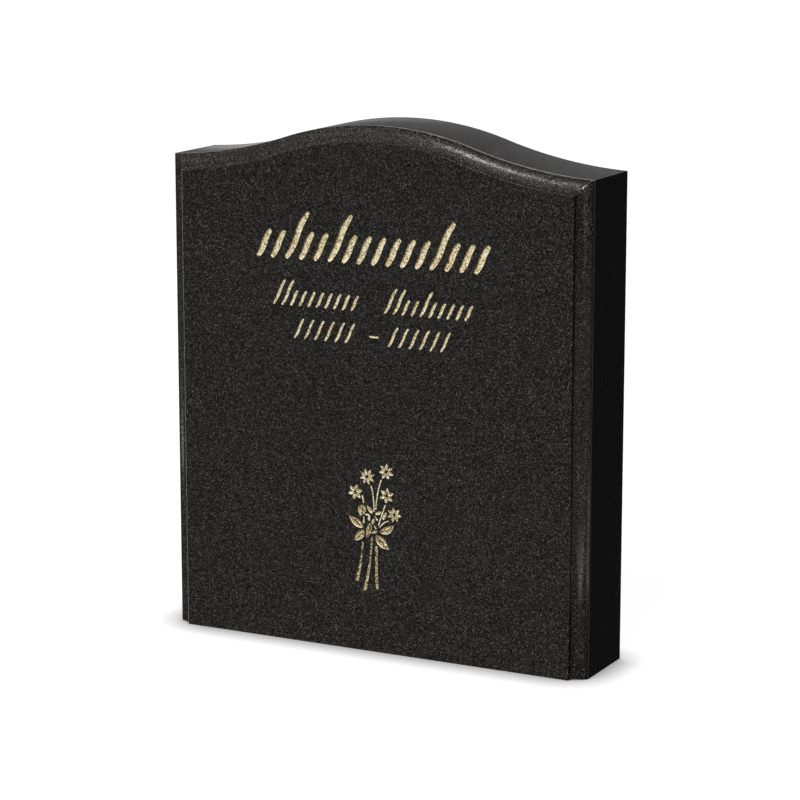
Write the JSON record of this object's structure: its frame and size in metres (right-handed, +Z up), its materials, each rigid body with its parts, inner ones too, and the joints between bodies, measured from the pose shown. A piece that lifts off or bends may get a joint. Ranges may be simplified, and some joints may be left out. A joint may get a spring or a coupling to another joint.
{
  "type": "upright memorial tablet",
  "caption": "Upright slab with a serpentine top, an ogee moulding round the front, rows of shallow cut strokes and a carved flower sprig; stands on its flat underside.",
  "frame": {"origin": "middle of the flat underside, at half the width and half the thickness, where the slab meets what it stands on", "axes": "+Z up the slab to its crown, +Y from the carved face to the back, +X across the slab to the right as its face is read"},
  "size_m": [0.5, 0.1, 0.572],
  "materials": {
    "black_granite": "polished",
    "gilding": "satin"
  },
  "bodies": {
    "root": {"tablet": "black_granite"}
  },
  "joints": []
}
